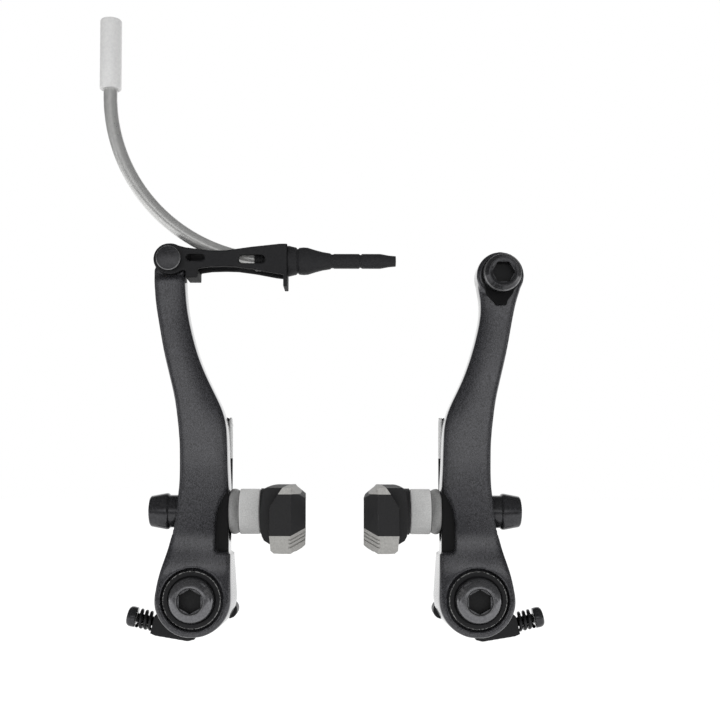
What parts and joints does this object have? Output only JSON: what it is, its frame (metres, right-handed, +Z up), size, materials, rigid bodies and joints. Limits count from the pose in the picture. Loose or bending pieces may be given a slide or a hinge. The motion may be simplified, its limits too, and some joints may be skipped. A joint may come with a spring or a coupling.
{
  "type": "linear-pull rim brake",
  "caption": "Graphite bicycle rim brake with two pivoting arms, brake shoes, a hinged link and a curved cable guide tube.",
  "frame": {"origin": "midway between the two boss axes, in the plane of the shoe stud axes", "axes": "+X right as seen from the front, +Y away from the viewer along the boss axes towards the frame, +Z up"},
  "size_m": [0.1305, 0.07, 0.1805],
  "materials": {
    "arm_paint": "satin graphite, fine metallic",
    "black_plastic": "moulded black",
    "black_steel": "black oxide",
    "plain_steel": "zinc",
    "satin_washer": "fine satin",
    "dark_sheet": "satin graphite",
    "tube_metal": "satin",
    "ferrule_metal": "satin",
    "liner_plastic": "natural",
    "boot_rubber": "soft black",
    "shoe_rubber": "matt black with grey parts",
    "brass": "plain"
  },
  "bodies": {
    "boss_hardware": {"left_pivot_bush": "plain_steel", "left_mount_bolt": "black_steel", "left_dust_ring": "black_plastic", "left_spring_case": "black_plastic", "left_adjust_spring": "plain_steel", "right_pivot_bush": "plain_steel", "right_mount_bolt": "black_steel", "right_dust_ring": "black_plastic", "right_spring_case": "black_plastic", "right_adjust_spring": "plain_steel"},
    "left_adjuster": {"left_adjust_screw": "black_steel"},
    "right_adjuster": {"right_adjust_screw": "black_steel"},
    "left_arm": {"left_arm": "arm_paint", "left_return_spring": "plain_steel", "left_spring_hook": "plain_steel", "link_pin": "black_steel", "link_pin_bush": "brass"},
    "right_arm": {"right_arm": "arm_paint", "right_return_spring": "plain_steel", "right_spring_hook": "plain_steel", "anchor_bolt": "black_steel", "anchor_washer": "black_steel"},
    "link": {"link_cradle": "dark_sheet", "noodle_tube": "tube_metal", "noodle_ferrule": "ferrule_metal", "noodle_nose": "black_plastic", "noodle_liner": "liner_plastic", "boot": "boot_rubber"},
    "left_washers": {"left_dome_washer": "satin_washer", "left_thick_washer": "satin_washer", "left_outer_cup": "satin_washer", "left_outer_dome": "satin_washer"},
    "right_washers": {"right_dome_washer": "satin_washer", "right_thick_washer": "satin_washer", "right_outer_cup": "satin_washer", "right_outer_dome": "satin_washer"},
    "left_shoe": {"left_shoe_block": "shoe_rubber", "left_shoe_stud": "plain_steel", "left_shoe_nut": "black_steel"},
    "right_shoe": {"right_shoe_block": "shoe_rubber", "right_shoe_stud": "plain_steel", "right_shoe_nut": "black_steel"}
  },
  "joints": [
    {"name": "left_arm_pivot", "type": "hinge", "parent": "boss_hardware", "child": "left_arm", "pos_m": [-0.04, 0, 0], "axis": [0, 1, 0], "range_deg": [-25, 6], "stiffness_Nm_per_rad": 3},
    {"name": "right_arm_pivot", "type": "hinge", "parent": "boss_hardware", "child": "right_arm", "pos_m": [0.04, 0, 0], "axis": [0, -1, 0], "range_deg": [-25, 6], "stiffness_Nm_per_rad": 3},
    {"name": "link_pivot", "type": "hinge", "parent": "left_arm", "child": "link", "pos_m": [-0.0474, 0, 0.0963], "axis": [0, -1, 0], "range_deg": [0, 70]},
    {"name": "left_shoe_height", "type": "slide", "parent": "left_arm", "child": "left_washers", "axis": [0, 0, 1], "range_m": [-0.005, 0]},
    {"name": "left_shoe_turn", "type": "hinge", "parent": "left_washers", "child": "left_shoe", "pos_m": [-0.02, 0, 0.0245], "axis": [1, 0, 0], "range_deg": [-15, 15]},
    {"name": "left_adjuster_turn", "type": "hinge", "parent": "boss_hardware", "child": "left_adjuster", "pos_m": [-0.0533, 0.0105, -0.0084], "axis": [0.9728, 0, -0.2317], "continuous": true},
    {"name": "right_shoe_height", "type": "slide", "parent": "right_arm", "child": "right_washers", "axis": [0, 0, 1], "range_m": [-0.005, 0]},
    {"name": "right_shoe_turn", "type": "hinge", "parent": "right_washers", "child": "right_shoe", "pos_m": [0.02, 0, 0.0245], "axis": [1, 0, 0], "range_deg": [-15, 15]},
    {"name": "right_adjuster_turn", "type": "hinge", "parent": "boss_hardware", "child": "right_adjuster", "pos_m": [0.0533, 0.0105, -0.0084], "axis": [-0.9728, 0, -0.2317], "continuous": true}
  ]
}
